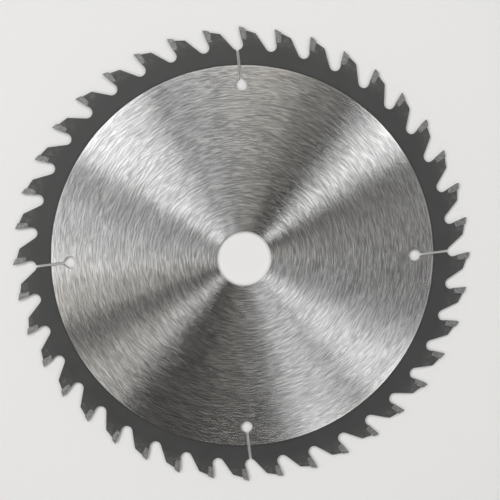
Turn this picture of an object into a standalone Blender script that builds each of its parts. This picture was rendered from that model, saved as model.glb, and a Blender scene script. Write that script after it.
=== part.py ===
"""Circular saw blade for wood, 250 mm over its carbide tips.

A disc of tool steel is cut to a profile of gullets, tooth backs, tip seats and keyhole expansion slots,
painted, and ground bare in the middle. A carbide tip is brazed into each seat and ground to an alternate
top bevel.

The blade lies in the XY plane with its bore on the Z axis. Seen from +Z its teeth cut counter-clockwise.
Every tooth is worked out where the first one stands, with its point on the +X axis, so that X runs along
its radius and Y the way that it cuts. Lengths are in metres.
"""

import math

import bmesh
import bpy
from mathutils import Matrix, Vector

# Blade
CUTTING_DIAMETER = 0.250
TOOTH_COUNT = 40
KERF = 0.0032

# Plate. The painted band runs from the gullets' bottoms in to the ground disc.
PLATE_THICKNESS = 0.0022
BORE_DIAMETER = 0.030
BORE_CHAMFER = 0.0003
BAND_WIDTH = 0.0080
GRINDING_DEPTH = 0.00005

# Gullets and tooth backs. The angles are taken from the tooth's own radius, the land's from the square to it.
HOOK_ANGLE = math.radians(12)
FACE_LENGTH = 0.0016
GULLET_RADIUS = 0.0032
BACK_ANGLE = math.radians(33)
LAND_ANGLE = math.radians(18)
LAND_DROP = 0.00215
HEEL_RADIUS = 0.0008
FACE_STEP = 0.0002

# Carbide tips and their seats
TIP_THICKNESS = 0.00335
TIP_HEIGHT = 0.0067
TIP_CHAMFER = 0.0004
SEAT_LEAN = math.radians(3)
SEAT_RADIUS = 0.0004
SHOULDER_RADIUS = 0.0002
BRAZE_GAP = 0.00025

# Grinding of the tips
TOP_RELIEF = math.radians(17)
TOP_WIDTH = 0.0025
BACKED_OFF_RELIEF = math.radians(40)
TOP_BEVEL = math.radians(10)
RADIAL_CLEARANCE = math.radians(2)
TANGENTIAL_CLEARANCE = math.radians(2.5)
BLANK_TIMES_TIP = 3

# Expansion slots, each from a gullet's bottom in to the centre of a round hole, leaning away from the cut
SLOT_COUNT = 4
SLOT_WIDTH = 0.0015
SLOT_LENGTH = 0.0182
SLOT_LEAN = math.radians(4.9)
SLOT_HOLE_DIAMETER = 0.0066

# Steps of the round stretches
GULLET_STEPS = 14
CORNER_STEPS = 4
HOLE_STEPS = 28
TURNED_STEPS = 180

# Finishes: linear colour, roughness and metallic value
BARE_STEEL = ((0.40, 0.40, 0.39), 0.35, 1.0)
GREY_PAINT = ((0.070, 0.072, 0.074), 0.45, 0.0)
CARBIDE = ((0.20, 0.20, 0.21), 0.40, 1.0)

CUTTER_REACH = 0.002
WELD_DISTANCE = 0.000005
SHARP_EDGE = math.radians(30)
TIP_RADIUS = CUTTING_DIAMETER / 2
PITCH = 2 * math.pi / TOOTH_COUNT


# Plane geometry of the tooth


def inward(angle):
    """Unit vector towards the bore that leans away from the cut by an angle."""
    return Vector((-math.cos(angle), -math.sin(angle)))


def backward(angle):
    """Unit vector away from the cut that drops towards the bore by an angle."""
    return Vector((-math.sin(angle), -math.cos(angle)))


def square_to(along):
    """Unit vector square to an inward line, on the side that the tooth cuts."""
    return Vector((along.y, -along.x))


def turned(point, angle):
    return Matrix.Rotation(angle, 2) @ point


def crossing(start, along, other_start, other_along):
    """Where two lines cross."""
    return start + along * ((other_start - start).cross(other_along) / along.cross(other_along))


def circle_hits(start, along, centre, radius):
    """Both points where a line crosses a circle, in the line's own order."""
    middle = start + along * (centre - start).dot(along)
    half_chord = math.sqrt(radius**2 - (middle - centre).length_squared)
    return middle - along * half_chord, middle + along * half_chord


def arc(centre, start, sweep, steps):
    """Points of an arc, both ends among them. A positive sweep runs counter-clockwise."""
    return [centre + turned(start - centre, sweep * step / steps) for step in range(steps + 1)]


def sweep_between(centre, start, end):
    """Signed angle of the shorter way round from one point to another."""
    first = start - centre
    last = end - centre
    return math.atan2(first.cross(last), first.dot(last))


def rounded(corner, before, after, radius):
    """Points of the arc that rounds a corner between the points before and after it."""
    to_before = (before - corner).normalized()
    to_after = (after - corner).normalized()
    half_angle = to_before.angle(to_after) / 2
    centre = corner + (to_before + to_after).normalized() * radius / math.sin(half_angle)
    start = corner + to_before * radius / math.tan(half_angle)
    end = corner + to_after * radius / math.tan(half_angle)
    return arc(centre, start, sweep_between(centre, start, end), CORNER_STEPS)


# Profile of the plate


def seat_corners():
    """Shoulder, inner corner and front edge of the first tooth's tip seat."""
    wall = inward(SEAT_LEAN)
    floor = square_to(wall)
    face = inward(HOOK_ANGLE)
    wall_top = Vector((TIP_RADIUS, -TIP_THICKNESS)) - floor * BRAZE_GAP
    shoulder = wall_top + wall * LAND_DROP
    corner = wall_top + wall * (TIP_HEIGHT + BRAZE_GAP)
    face_start = Vector((TIP_RADIUS, 0)) - square_to(face) * FACE_STEP
    front = crossing(corner, floor, face_start, face)
    return shoulder, corner, front


def gullet_centre():
    """Centre of the gullet in front of the first tooth, whose arc runs out into the straight of the face."""
    face = inward(HOOK_ANGLE)
    face_end = seat_corners()[2] + face * FACE_LENGTH
    return face_end + square_to(face) * GULLET_RADIUS


def gullet_bottom():
    """The first gullet's nearest point to the bore."""
    centre = gullet_centre()
    return centre - centre.normalized() * GULLET_RADIUS


def ground_radius():
    """Radius of the disc that is ground bare inside the painted band."""
    return gullet_bottom().length - BAND_WIDTH


def back_run_out():
    """Point where the first tooth's back runs out into the gullet behind it."""
    return turned(gullet_centre(), -PITCH) + square_to(inward(BACK_ANGLE)) * GULLET_RADIUS


def expansion_slot(centre):
    """Mouth on the face's side, points down, round the hole and up again, and mouth on the back's side."""
    outward = turned(centre.normalized(), SLOT_LEAN)
    hole = gullet_bottom() - outward * SLOT_LENGTH
    hole_radius = SLOT_HOLE_DIAMETER / 2
    half_width = square_to(outward) * SLOT_WIDTH / 2
    near_mouth = circle_hits(hole + half_width, outward, centre, GULLET_RADIUS)[0]
    far_mouth = circle_hits(hole - half_width, outward, centre, GULLET_RADIUS)[0]
    hole_start = circle_hits(hole + half_width, outward, hole, hole_radius)[1]
    opening_angle = 2 * math.asin(SLOT_WIDTH / SLOT_HOLE_DIAMETER)
    hole_arc = arc(hole, hole_start, opening_angle - 2 * math.pi, HOLE_STEPS)
    return near_mouth, hole_arc, far_mouth


def gullet(slotted):
    """Points of the gullet in front of the first tooth, from its face to the next tooth's back."""
    centre = gullet_centre()
    start = centre - square_to(inward(HOOK_ANGLE)) * GULLET_RADIUS
    end = turned(back_run_out(), PITCH)
    if not slotted:
        return arc(centre, start, sweep_between(centre, start, end), GULLET_STEPS)
    near_mouth, hole_arc, far_mouth = expansion_slot(centre)
    half_steps = GULLET_STEPS // 2
    face_side = arc(centre, start, sweep_between(centre, start, near_mouth), half_steps)
    back_side = arc(centre, far_mouth, sweep_between(centre, far_mouth, end), half_steps)
    return face_side + hole_arc + back_side


def tooth(slotted):
    """Points of the first tooth's back, land and seat and of the gullet in front of it."""
    shoulder, corner, front = seat_corners()
    run_out = back_run_out()
    heel = crossing(shoulder, backward(LAND_ANGLE), run_out, inward(BACK_ANGLE))
    return [
        *rounded(heel, run_out, shoulder, HEEL_RADIUS),
        *rounded(shoulder, heel, corner, SHOULDER_RADIUS),
        *rounded(corner, shoulder, front, SEAT_RADIUS),
        front,
        *gullet(slotted),
    ]


def plate_outline():
    """The plate's whole outline, counter-clockwise."""
    slotted_teeth = {round(slot * TOOTH_COUNT / SLOT_COUNT) for slot in range(SLOT_COUNT)}
    points = []
    for number in range(TOOTH_COUNT):
        points += [turned(point, number * PITCH) for point in tooth(number in slotted_teeth)]
    return points


# Solids


def finish(name, values):
    """Material with a plain colour, roughness and metallic value."""
    colour, roughness, metallic = values
    material = bpy.data.materials.new(name)
    material.use_nodes = True
    shader = material.node_tree.nodes["Principled BSDF"]
    shader.inputs["Base Color"].default_value = (*colour, 1)
    shader.inputs["Roughness"].default_value = roughness
    shader.inputs["Metallic"].default_value = metallic
    material.diffuse_color = (*colour, 1)
    return material


def flat_piece(name, outline, thickness):
    """Curve object that fills a closed outline to a thickness."""
    curve = bpy.data.curves.new(name, "CURVE")
    curve.dimensions = "2D"
    curve.fill_mode = "BOTH"
    curve.extrude = thickness / 2
    spline = curve.splines.new("POLY")
    spline.points.add(len(outline) - 1)
    for knot, point in zip(spline.points, outline):
        knot.co = (point.x, point.y, 0, 1)
    spline.use_cyclic_u = True
    piece = bpy.data.objects.new(name, curve)
    bpy.context.scene.collection.objects.link(piece)
    return piece


def as_mesh(piece, collection):
    """Turns an object, with its modifiers, into a welded mesh object of the same name."""
    name = piece.name
    graph = bpy.context.evaluated_depsgraph_get()
    mesh = bpy.data.meshes.new_from_object(piece.evaluated_get(graph))
    place = piece.matrix_world.copy()
    bpy.data.objects.remove(piece)
    work = bmesh.new()
    work.from_mesh(mesh)
    bmesh.ops.remove_doubles(work, verts=work.verts, dist=WELD_DISTANCE)
    work.to_mesh(mesh)
    work.free()
    mesh.name = name
    solid = bpy.data.objects.new(name, mesh)
    solid.matrix_world = place
    collection.objects.link(solid)
    return solid


def bore_and_face_cutter(collection):
    """Turned spool that cuts the chamfered bore and grinds both faces inside the painted band."""
    ground_face = PLATE_THICKNESS / 2 - GRINDING_DEPTH
    bore_radius = BORE_DIAMETER / 2
    top = ground_face + CUTTER_REACH
    upper_half = [
        (0, top),
        (ground_radius(), top),
        (ground_radius(), ground_face),
        (bore_radius + BORE_CHAMFER, ground_face),
        (bore_radius, ground_face - BORE_CHAMFER),
    ]
    profile = upper_half + [(radius, -height) for radius, height in reversed(upper_half)]
    mesh = bpy.data.meshes.new("bore_and_face_cutter")
    links = [(index, index + 1) for index in range(len(profile) - 1)]
    mesh.from_pydata([(radius, 0, height) for radius, height in profile], links, [])
    cutter = bpy.data.objects.new("bore_and_face_cutter", mesh)
    cutter.hide_render = True
    cutter.display_type = "WIRE"
    collection.objects.link(cutter)
    screw = cutter.modifiers.new("turn", "SCREW")
    screw.steps = TURNED_STEPS
    screw.render_steps = TURNED_STEPS
    screw.use_merge_vertices = True
    screw.merge_threshold = WELD_DISTANCE
    return cutter


def saw_plate(parts, cutters):
    """The steel plate, with paint on its toothed band and bare steel inside it."""
    plate = as_mesh(flat_piece("saw_plate", plate_outline(), PLATE_THICKNESS), parts)
    cut = plate.modifiers.new("bore and ground faces", "BOOLEAN")
    cut.operation = "DIFFERENCE"
    cut.object = bore_and_face_cutter(cutters)
    plate = as_mesh(plate, parts)
    plate.data.materials.clear()
    plate.data.materials.append(finish("bare_steel", BARE_STEEL))
    plate.data.materials.append(finish("grey_paint", GREY_PAINT))
    for face in plate.data.polygons:
        face.material_index = int(face.center.xy.length > ground_radius())
    plate.data.shade_smooth()
    plate.data.set_sharp_from_angle(angle=SHARP_EDGE)
    return plate


def grind(blank, point, normal):
    """Takes off what lies past a plane and closes the ground face."""
    everything = [*blank.verts, *blank.edges, *blank.faces]
    cut = bmesh.ops.bisect_plane(
        blank, geom=everything, plane_co=point, plane_no=normal, clear_outer=True
    )
    rim = [item for item in cut["geom_cut"] if isinstance(item, bmesh.types.BMEdge)]
    bmesh.ops.edgenet_fill(blank, edges=rim)


def tip_mesh(name, high_side):
    """A carbide tip with its point at the origin. Its top falls away from the high side, +1 or -1 along Z."""
    wall = inward(SEAT_LEAN).to_3d()
    floor = square_to(wall).to_3d()
    back = Vector((0, -TIP_THICKNESS, 0))
    foot = back + wall * TIP_HEIGHT
    point = Vector((0, 0, high_side * KERF / 2))
    relief = backward(TOP_RELIEF).to_3d()
    bevel = Vector((-math.sin(TOP_BEVEL), 0, -high_side * math.cos(TOP_BEVEL)))
    top_normal = relief.cross(bevel) * high_side
    backed_off_normal = square_to(backward(BACKED_OFF_RELIEF)).to_3d()
    blank = bmesh.new()
    blank_size = Vector((TIP_HEIGHT, TIP_HEIGHT, KERF)) * BLANK_TIMES_TIP
    bmesh.ops.create_cube(blank, size=1, matrix=Matrix.Diagonal(blank_size).to_4x4())
    grind(blank, back, -floor)
    grind(blank, foot, wall)
    grind(blank, foot + floor * TIP_CHAMFER, wall - floor)
    grind(blank, Vector((0, 0, 0)), square_to(inward(HOOK_ANGLE)).to_3d())
    for side in (1, -1):
        clearance = Vector((-math.tan(RADIAL_CLEARANCE), -math.tan(TANGENTIAL_CLEARANCE), side))
        grind(blank, Vector((0, 0, side * KERF / 2)), clearance)
    grind(blank, point, top_normal)
    grind(blank, point + relief * TOP_WIDTH, -backed_off_normal)
    bmesh.ops.recalc_face_normals(blank, faces=blank.faces)
    mesh = bpy.data.meshes.new(name)
    blank.to_mesh(mesh)
    blank.free()
    return mesh


def carbide_tips(parts):
    """A tip in every seat, ground to the left and to the right by turns."""
    carbide = finish("carbide", CARBIDE)
    meshes = [tip_mesh("tip_high_on_top", 1), tip_mesh("tip_high_underneath", -1)]
    for mesh in meshes:
        mesh.materials.append(carbide)
    tips = []
    for number in range(TOOTH_COUNT):
        tip = bpy.data.objects.new(f"carbide_tip_{number + 1:02d}", meshes[number % len(meshes)])
        tip.location = turned(Vector((TIP_RADIUS, 0)), number * PITCH).to_3d()
        tip.rotation_euler.z = number * PITCH
        parts.objects.link(tip)
        tips.append(tip)
    return tips


def build():
    for leftover in list(bpy.data.objects):
        bpy.data.objects.remove(leftover)
    parts = bpy.data.collections.new("circular_saw_blade")
    cutters = bpy.data.collections.new("cutters")
    for collection in (parts, cutters):
        bpy.context.scene.collection.children.link(collection)
    blade = bpy.data.objects.new("blade", None)
    parts.objects.link(blade)
    for piece in (saw_plate(parts, cutters), *carbide_tips(parts)):
        piece.parent = blade


build()
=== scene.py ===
"""Studio scene of a carbide-tipped circular saw blade that lies on a pale floor, seen from above."""

import math

import bpy
from mathutils import Matrix


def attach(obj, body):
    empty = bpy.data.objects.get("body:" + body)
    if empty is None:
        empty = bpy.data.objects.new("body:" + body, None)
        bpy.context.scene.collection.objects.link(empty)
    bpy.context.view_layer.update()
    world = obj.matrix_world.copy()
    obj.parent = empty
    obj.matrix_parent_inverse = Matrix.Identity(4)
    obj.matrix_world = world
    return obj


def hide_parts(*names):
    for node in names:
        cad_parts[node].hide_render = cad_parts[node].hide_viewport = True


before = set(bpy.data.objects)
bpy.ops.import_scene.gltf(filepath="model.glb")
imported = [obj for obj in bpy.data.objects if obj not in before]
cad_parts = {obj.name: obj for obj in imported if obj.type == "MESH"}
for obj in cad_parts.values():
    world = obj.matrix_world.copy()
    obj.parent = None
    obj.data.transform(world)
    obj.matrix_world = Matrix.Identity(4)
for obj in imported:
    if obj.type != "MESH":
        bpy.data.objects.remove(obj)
bpy.context.view_layer.update()

# Sizes of the blade, in metres, as its solids have them
TOOTH_COUNT = 40
TIP_RADIUS = 0.125
KERF = 0.0032
PLATE_THICKNESS = 0.0022
GROUND_RADIUS = 0.10451
SLOT_REACH = 0.09
TIP_THICKNESS = 0.00335
TIP_HEIGHT = 0.0067
LAND_DROP = 0.00215
SEAT_LEAN = math.radians(3)
HOOK_ANGLE = math.radians(12)
BRAZE_GAP = 0.00025

# Broken edges and braze
PLATE_EDGE = 0.00006
TIP_EDGE = 0.00004
BRAZE_PROUD = 0.00006
BRAZE_EDGE = 0.00008

# Distances from the bore's axis between which a finish changes, from where it starts to where it is full
LIVELY_STROKES = (0.094, 0.103)
BORDER = (GROUND_RADIUS - 0.0038, GROUND_RADIUS - 0.0018)
RIM = (GROUND_RADIUS - 0.0009, GROUND_RADIUS - 0.0002)
DARK_PAINT_EDGE = (GROUND_RADIUS + 0.0014, GROUND_RADIUS + 0.0004)
WORN_PAINT = (0.1125, 0.1215)
PLAIN_FLOOR = (0.16, 0.36)

# How edges and faces of the solids are told apart. A face is level or upright by the size of its normal's Z.
JOIN_DISTANCE = 0.000001
NEAR_STEP = 0.0001
FLAT_ANGLE = math.radians(0.5)
SMOOTH_ANGLE = math.radians(20)
SHARP_ANGLE = math.radians(35)
LEVEL = 0.999
UPRIGHT = 0.3
FACING = 0.9

# Places of two finishes in the plate's list, which starts with the brushed steel
PAINT_PLACE = 1
WALL_PLACE = 2

# View of the photograph: how the blade is turned, leans and is moved aside as the camera sees it
BLADE_TURN = math.radians(1.59)
LEAN_UP = math.radians(5.93)
LEAN_ACROSS = math.radians(3.25)
BLADE_OFFSET = (-0.00330, -0.00465, 0)
CAMERA_DISTANCE = 0.5727
LENS_MM = 75.27
SENSOR_MM = 36

# Strip lamps in a ring round the blade: azimuth, angle round the ring that the width takes up, power in watts
# and colour. The brushed disc shows each of them as two bright fans, at its azimuth and opposite.
LAMP_DISTANCE = 2.0
LAMP_ELEVATION = math.radians(60)
LAMP_LENGTH = 0.84
WHITE = (1, 1, 1)
WARM = (1, 0.962, 0.905)
LAMPS = (
    (344.4, 34, 2.38, WHITE),
    (355.1, 18, 1.83, WHITE),
    (11.6, 14, 2.86, WHITE),
    (24.0, 16, 2.37, WARM),
    (52.1, 16, 1.23, WARM),
    (113.8, 13, 1.87, WHITE),
    (135.5, 16, 2.37, WHITE),
    (166.4, 30, 0.51, WHITE),
    (184.7, 16, 0.51, WHITE),
    (205.5, 13, 4.65, WHITE),
    (235.1, 20, 1.31, WARM),
    (249.0, 14, 1.74, WARM),
    (262.3, 16, 2.24, WARM),
    (273.3, 18, 1.76, WHITE),
    (284.7, 17, 1.44, WHITE),
    (295.7, 24, 1.12, WHITE),
    (311.7, 16, 5.28, WHITE),
    (326.7, 14, 4.83, WHITE),
)

# Floor and sky. The sky's colours stand at the heights of the ramp, as the Z of the direction looked in.
FLOOR_RADIUS = 4
FLOOR_CORNERS = 96
BACKGROUND = (0.69, 0.69, 0.69, 1)
CEILING = (0.042, 0.040, 0.036, 1)
HORIZON_HEIGHT = 0.05
CEILING_HEIGHT = 0.4


# Materials


class Sum:
    """A node's output. Python's operators on it add the Math nodes that work out the result."""

    def __init__(self, finish, output):
        self.finish = finish
        self.output = output

    def __add__(self, other):
        return self.finish.maths("ADD", self, other)

    def __radd__(self, other):
        return self.finish.maths("ADD", other, self)

    def __sub__(self, other):
        return self.finish.maths("SUBTRACT", self, other)

    def __rsub__(self, other):
        return self.finish.maths("SUBTRACT", other, self)

    def __mul__(self, other):
        return self.finish.maths("MULTIPLY", self, other)

    def __pow__(self, other):
        return self.finish.maths("POWER", self, other)


class Finish:
    """A material that is put together from nodes."""

    def __init__(self, name):
        self.material = bpy.data.materials.new(name)
        self.material.use_nodes = True
        self.tree = self.material.node_tree
        self.shader = self.tree.nodes["Principled BSDF"]

    def node(self, kind, settings=None, sockets=None, output=0):
        """Adds a node: its settings first, then its sockets' values or links. Gives back one output."""
        made = self.tree.nodes.new(kind)
        for setting, value in (settings or {}).items():
            setattr(made, setting, value)
        self.fill(made, sockets or {})
        return Sum(self, made.outputs[output])

    def fill(self, node, sockets):
        """Sets a node's sockets, by name or number, to values or links."""
        for socket, value in sockets.items():
            if isinstance(value, Sum):
                self.tree.links.new(value.output, node.inputs[socket])
            else:
                node.inputs[socket].default_value = value

    def maths(self, operation, first, second):
        return self.node("ShaderNodeMath", {"operation": operation}, {0: first, 1: second})

    def place(self):
        """Object coordinates."""
        return self.node("ShaderNodeTexCoord", output="Object")

    def apart(self, vector):
        """The three numbers of a vector."""
        apart = self.node("ShaderNodeSeparateXYZ", sockets={0: vector}).output.node
        return [Sum(self, output) for output in apart.outputs]

    def radius(self, place):
        """Distance from the bore's axis."""
        x, y, _ = self.apart(place)
        return (x * x + y * y) ** 0.5

    def vector(self, x, y, z):
        return self.node("ShaderNodeCombineXYZ", sockets={0: x, 1: y, 2: z})

    def noise(self, vector, scale=1.0, detail=2.0, roughness=0.5):
        sockets = {"Vector": vector, "Scale": scale, "Detail": detail, "Roughness": roughness}
        return self.node("ShaderNodeTexNoise", sockets=sockets)

    def step(self, value, low, high):
        """A mask that rises smoothly from 0 at one value to 1 at another."""
        settings = {"interpolation_type": "SMOOTHSTEP"}
        return self.node("ShaderNodeMapRange", settings, {0: value, 1: low, 2: high})

    def mix(self, factor, first, second):
        """Colour between two colours."""
        sockets = {0: factor, 6: first, 7: second}
        return self.node("ShaderNodeMix", {"data_type": "RGBA"}, sockets, output=2)

    def bump(self, height, distance):
        return self.node("ShaderNodeBump", sockets={"Height": height, "Distance": distance})


def brushed_steel():
    """Ground disc, brushed in short strokes that run round the bore."""
    steel = Finish("brushed_steel")
    place = steel.place()
    x, y, _ = steel.apart(place)
    radius = steel.radius(place)

    def strokes(sway, across, along):
        """Noise drawn out round the bore. Its strokes wander off their circles by the sway."""
        stretched = steel.vector((radius + sway) * across, x * along, y * along)
        return steel.noise(stretched, detail=1, roughness=0.6)

    fine = strokes((steel.noise(place, scale=50, detail=1) - 0.5) * 0.0010, across=3000, along=190)
    broad = strokes((steel.noise(place, scale=70, detail=0) - 0.5) * -0.0012, across=1600, along=120)
    blotches = steel.noise(place, scale=60, detail=3)
    border = steel.step(radius, *BORDER)
    rim = steel.step(radius, *RIM)
    lively = steel.step(radius, *LIVELY_STROKES)
    grain = 0.5 + (fine * 0.72 + broad * 0.28 - 0.5) * (1.0 + lively * 0.2)
    shade = steel.step(grain, 0.30, 0.70)
    lit = shade * 0.85 + steel.step(blotches, 0.3, 0.7) * 0.15
    colour = steel.mix(lit, (0.25, 0.25, 0.249, 1), (0.58, 0.58, 0.58, 1))
    steel.fill(
        steel.shader,
        {
            "Base Color": steel.mix(border * 0.15 + rim * 0.45, colour, (0.62, 0.62, 0.615, 1)),
            "Metallic": 1.0,
            "Roughness": 0.235 + shade * 0.03,
            "Anisotropic": 1.0,
            "Anisotropic Rotation": 0.25,
            "Tangent": steel.node("ShaderNodeTangent", {"direction_type": "RADIAL", "axis": "Z"}),
            "Normal": steel.bump(grain, 0.000004),
        },
    )
    return steel.material


def satin_paint():
    """Satin grey paint of the toothed band, darker at its inner edge and scuffed near the teeth."""
    paint = Finish("satin_paint")
    place = paint.place()
    radius = paint.radius(place)
    clouds = paint.noise(place, scale=60, detail=3)
    peel = paint.noise(place, scale=1500, detail=1)
    shade = paint.step(clouds, 0.3, 0.7)
    # The paint is darkened in a thin band along its inner edge, next to the ground disc.
    dark_edge = paint.step(radius, *DARK_PAINT_EDGE)
    colour = paint.mix(shade, (0.033, 0.0345, 0.0337, 1), (0.040, 0.0415, 0.0410, 1))
    scuffs = paint.step(paint.noise(place, scale=420, detail=3), 0.42, 0.70)
    worn = paint.step(radius, *WORN_PAINT) * (0.25 + scuffs)
    colour = paint.mix(worn, colour, (0.085, 0.085, 0.085, 1))
    paint.fill(
        paint.shader,
        {
            "Base Color": paint.mix(dark_edge * 0.8, colour, (0.020, 0.020, 0.020, 1)),
            "Metallic": 0.0,
            "Roughness": 0.44 + clouds * 0.10,
            "Specular IOR Level": 0.40,
            "Normal": paint.bump(peel, 0.00001),
        },
    )
    return paint.material


def ground_carbide():
    """Sintered carbide, dull on its finely ground faces."""
    carbide = Finish("ground_carbide")
    place = carbide.place()
    clouds = carbide.noise(place, scale=700, detail=3)
    grit = carbide.noise(place, scale=4000, detail=2)
    shade = carbide.step(clouds * 0.7 + grit * 0.3, 0.36, 0.64)
    carbide.fill(
        carbide.shader,
        {
            "Base Color": carbide.mix(shade, (0.17, 0.17, 0.17, 1), (0.30, 0.30, 0.31, 1)),
            "Metallic": 1.0,
            "Roughness": 0.56 + grit * 0.12,
            "Normal": carbide.bump(grit, 0.00002),
        },
    )
    return carbide.material


def pale_floor():
    """Matt pale paper. Away from the blade it is seen at one plain level, whatever light falls there."""
    paper = Finish("pale_floor")
    place = paper.place()
    clouds = paper.noise(place, scale=3, detail=2)
    paper.fill(
        paper.shader,
        {
            "Base Color": paper.mix(clouds, (0.83, 0.83, 0.83, 1), (0.86, 0.86, 0.86, 1)),
            "Roughness": 0.9,
            "Specular IOR Level": 0.1,
        },
    )
    ray = paper.node("ShaderNodeLightPath").output.node
    kinds = ("Is Camera Ray", "Is Glossy Ray", "Is Transmission Ray")
    camera, glossy, transmission = (Sum(paper, ray.outputs[kind]) for kind in kinds)
    seen = camera + glossy + transmission
    far = paper.step(paper.radius(place), *PLAIN_FLOOR)
    matt = Sum(paper, paper.shader.outputs[0])
    plain = paper.node("ShaderNodeEmission", sockets={"Color": BACKGROUND})
    shown = paper.node("ShaderNodeMixShader", sockets={0: far * seen, 1: matt, 2: plain})
    paper.tree.links.new(shown.output, paper.tree.nodes["Material Output"].inputs["Surface"])
    return paper.material


def cut_wall():
    """Laser-cut wall of the bare steel, blued by the heat."""
    wall = Finish("cut_wall")
    x, y, z = wall.apart(wall.place())
    ripples = wall.noise(wall.vector(x * 4000, y * 4000, z * 300), detail=2)
    shade = wall.step(ripples, 0.35, 0.65)
    wall.fill(
        wall.shader,
        {
            "Base Color": wall.mix(shade, (0.035, 0.036, 0.040, 1), (0.10, 0.10, 0.10, 1)),
            "Metallic": 0.8,
            "Roughness": 0.6 - shade * 0.1,
            "Normal": wall.bump(ripples, 0.00002),
        },
    )
    return wall.material


def braze_alloy():
    """Silver braze, bright and dull in small patches."""
    braze = Finish("braze_alloy")
    runs = braze.noise(braze.place(), scale=900, detail=3)
    shade = braze.step(runs, 0.35, 0.65)
    braze.fill(
        braze.shader,
        {
            "Base Color": braze.mix(shade, (0.13, 0.125, 0.115, 1), (0.42, 0.41, 0.39, 1)),
            "Metallic": 1.0,
            "Roughness": 0.55 - shade * 0.15,
            "Normal": braze.bump(runs, 0.00003),
        },
    )
    return braze.material


# Pieces


def deselect():
    bpy.ops.object.select_all(action="DESELECT")


def edit(piece):
    """Opens one piece in edit mode, by its edges, with nothing on it selected."""
    deselect()
    piece.select_set(True)
    bpy.context.view_layer.objects.active = piece
    bpy.ops.object.mode_set(mode="EDIT")
    bpy.ops.mesh.select_mode(type="EDGE")
    bpy.ops.mesh.select_all(action="DESELECT")


def leave_edit():
    bpy.ops.object.mode_set(mode="OBJECT")


def whole_copy(node, name):
    """Copy of a solid with its corners joined and its flat faces in one."""
    piece = bpy.data.objects.new(name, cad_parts[node].data.copy())
    bpy.context.scene.collection.objects.link(piece)
    piece.data.name = name
    edit(piece)
    bpy.ops.mesh.select_all(action="SELECT")
    bpy.ops.mesh.customdata_custom_splitnormals_clear()
    bpy.ops.mesh.remove_doubles(threshold=JOIN_DISTANCE)
    bpy.ops.mesh.dissolve_limited(angle_limit=FLAT_ANGLE)
    leave_edit()
    piece.data.materials.clear()
    return piece


def break_edges(piece, width, kept):
    """Bevels a piece's sharp edges, apart from those that the test keeps, and leaves its faces flat."""
    edit(piece)
    bpy.ops.mesh.edges_select_sharp(sharpness=SHARP_ANGLE)
    leave_edit()
    corners = piece.data.vertices
    for edge in piece.data.edges:
        if edge.select and kept([corners[number].co for number in edge.vertices]):
            edge.select = False
    bpy.ops.object.mode_set(mode="EDIT")
    bpy.ops.mesh.bevel(offset=width, segments=2, clamp_overlap=False)
    leave_edit()
    bpy.ops.object.shade_flat()


def on_ground_step(ends):
    """True for an edge of the low step between the ground disc and the painted band."""
    return any(abs(end.xy.length - GROUND_RADIUS) < NEAR_STEP for end in ends)


def on_no_edge(ends):
    """Test for a piece of which all sharp edges are broken."""
    return False


def dress_plate():
    """The plate with its laser-cut edges broken, painted outside the ground disc. Flat faces stay flat."""
    plate = whole_copy("saw_plate", "blade_plate")
    break_edges(plate, PLATE_EDGE, on_ground_step)
    bpy.ops.object.shade_smooth_by_angle(angle=SMOOTH_ANGLE)
    for finish in (brushed_steel(), satin_paint(), cut_wall()):
        plate.data.materials.append(finish)
    corners = plate.data.vertices
    for face in plate.data.polygons:
        face.use_smooth = abs(face.normal.z) < LEVEL
        innermost = min(corners[number].co.xy.length for number in face.vertices)
        if innermost > GROUND_RADIUS - NEAR_STEP:
            face.material_index = PAINT_PLACE
        elif abs(face.normal.z) < UPRIGHT and innermost > SLOT_REACH:
            face.material_index = WALL_PLACE
    finish_piece(plate, "bare_steel", "saw_plate")


def finish_piece(piece, slot, *nodes):
    """Hangs a finished piece on the blade's body, in place of the solids that it stands for, if any."""
    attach(piece, "root")
    if nodes:
        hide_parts(*nodes)


def copy_round(model, name, teeth):
    """Copy of a tooth's piece, with its own mesh, turned round the bore by a number of teeth."""
    mesh = model.data.copy()
    mesh.name = name
    mesh.transform(Matrix.Rotation(2 * math.pi * teeth / TOOTH_COUNT, 4, "Z"))
    piece = bpy.data.objects.new(name, mesh)
    bpy.context.scene.collection.objects.link(piece)
    return piece


def dress_tips():
    """Every carbide tip, its ground edges broken. The first two are dressed, the rest are their copies."""
    carbide = ground_carbide()
    models = [whole_copy(f"carbide_tip_{number + 1:02d}", f"tip_{number + 1:02d}") for number in (0, 1)]
    for model in models:
        break_edges(model, TIP_EDGE, on_no_edge)
        model.data.materials.append(carbide)
    for number in range(TOOTH_COUNT):
        name = f"tip_{number + 1:02d}"
        kind = number % len(models)
        piece = models[kind] if number == kind else copy_round(models[kind], name, number - kind)
        finish_piece(piece, "carbide", f"carbide_{name}")


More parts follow.
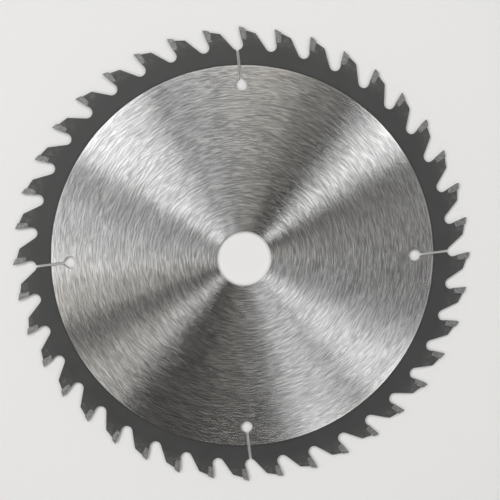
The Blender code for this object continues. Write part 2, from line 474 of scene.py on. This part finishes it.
def braze_seam():
    """Braze of the first tooth: it fills the gap behind its tip and turns under it."""
    deselect()
    tall = TIP_HEIGHT - LAND_DROP + BRAZE_GAP
    deep = PLATE_THICKNESS + 2 * BRAZE_PROUD
    middle = (-tall / 2, -BRAZE_GAP / 2, 0)
    bpy.ops.mesh.primitive_cube_add(size=1, location=middle, scale=(tall, BRAZE_GAP, deep))
    seam = bpy.context.object
    bpy.ops.object.transform_apply(location=True, rotation=False, scale=True)
    edit(seam)
    bpy.ops.mesh.select_all(action="SELECT")
    bpy.ops.mesh.bisect(plane_co=(BRAZE_GAP - tall, 0, 0), plane_no=(1, 0, 0))
    bpy.ops.mesh.select_mode(type="FACE")
    bpy.ops.mesh.select_all(action="DESELECT")
    leave_edit()
    for face in seam.data.polygons:
        face.select = face.normal.y > FACING and face.center.x < BRAZE_GAP - tall
    bpy.ops.object.mode_set(mode="EDIT")
    floor_length = TIP_THICKNESS - TIP_HEIGHT * (math.tan(HOOK_ANGLE) - math.tan(SEAT_LEAN))
    bpy.ops.mesh.extrude_region_move(TRANSFORM_OT_translate={"value": (0, floor_length, 0)})
    leave_edit()
    seam.data.transform(
        Matrix.Translation((TIP_RADIUS, -TIP_THICKNESS, 0))
        @ Matrix.Rotation(SEAT_LEAN, 4, "Z")
        @ Matrix.Translation((-LAND_DROP, 0, 0))
    )
    break_edges(seam, BRAZE_EDGE, on_no_edge)
    return seam


def fill_seams():
    seam = braze_seam()
    seam.name = "braze_01"
    seam.data.materials.append(braze_alloy())
    for number in range(TOOTH_COUNT):
        piece = copy_round(seam, f"braze_{number + 1:02d}", number) if number else seam
        finish_piece(piece, "bare_steel")


# Studio


def lay_floor():
    under_tips = (0, 0, -KERF / 2)
    bpy.ops.mesh.primitive_circle_add(
        vertices=FLOOR_CORNERS, radius=FLOOR_RADIUS, fill_type="NGON", location=under_tips
    )
    floor = bpy.context.object
    floor.name = "floor"
    floor.data.materials.append(pale_floor())


def light_sky():
    """A pale horizon under a dim ceiling."""
    world = bpy.data.worlds.new("studio")
    world.use_nodes = True
    bpy.context.scene.world = world
    tree = world.node_tree
    back = tree.nodes["Background"]
    place = tree.nodes.new("ShaderNodeTexCoord")
    apart = tree.nodes.new("ShaderNodeSeparateXYZ")
    ramp = tree.nodes.new("ShaderNodeValToRGB")
    ramp.color_ramp.interpolation = "EASE"
    ramp.color_ramp.elements[0].position = HORIZON_HEIGHT
    ramp.color_ramp.elements[0].color = BACKGROUND
    ramp.color_ramp.elements[1].position = CEILING_HEIGHT
    ramp.color_ramp.elements[1].color = CEILING
    tree.links.new(place.outputs["Generated"], apart.inputs[0])
    tree.links.new(apart.outputs["Z"], ramp.inputs[0])
    tree.links.new(ramp.outputs[0], back.inputs["Color"])


def hang_lamp(name, azimuth, width, power, colour):
    """Strip lamp that faces the blade, its long side upright."""
    lamp = bpy.data.lights.new(name, "AREA")
    lamp.shape = "RECTANGLE"
    lamp.size = width
    lamp.size_y = LAMP_LENGTH
    lamp.energy = power
    lamp.color = colour
    holder = bpy.data.objects.new(name, lamp)
    bpy.context.scene.collection.objects.link(holder)
    around = Matrix.Rotation(math.radians(azimuth) + math.pi / 2, 4, "Z")
    above = Matrix.Rotation(LAMP_ELEVATION - math.pi / 2, 4, "X")
    holder.matrix_world = around @ above @ Matrix.Translation((0, 0, LAMP_DISTANCE))
    holder.visible_camera = False


def hang_lamps():
    reach = LAMP_DISTANCE * math.cos(LAMP_ELEVATION)
    for number, (azimuth, span, power, colour) in enumerate(LAMPS):
        width = 2 * reach * math.tan(math.radians(span) / 2)
        hang_lamp(f"lamp_{number + 1}", azimuth, width, power, colour)


def stand_camera():
    camera = bpy.data.objects.new("camera", bpy.data.cameras.new("camera"))
    bpy.context.scene.collection.objects.link(camera)
    camera.data.sensor_width = SENSOR_MM
    camera.data.lens = LENS_MM
    seen = (
        Matrix.Translation(BLADE_OFFSET)
        @ Matrix.Rotation(LEAN_ACROSS, 4, "Y")
        @ Matrix.Rotation(LEAN_UP, 4, "X")
        @ Matrix.Rotation(BLADE_TURN, 4, "Z")
    )
    camera.matrix_world = seen.inverted() @ Matrix.Translation((0, 0, CAMERA_DISTANCE))
    bpy.context.scene.camera = camera


dress_plate()
dress_tips()
fill_seams()
lay_floor()
light_sky()
hang_lamps()
stand_camera()
bpy.context.scene.view_settings.view_transform = "Standard"

bpy.context.view_layer.update()
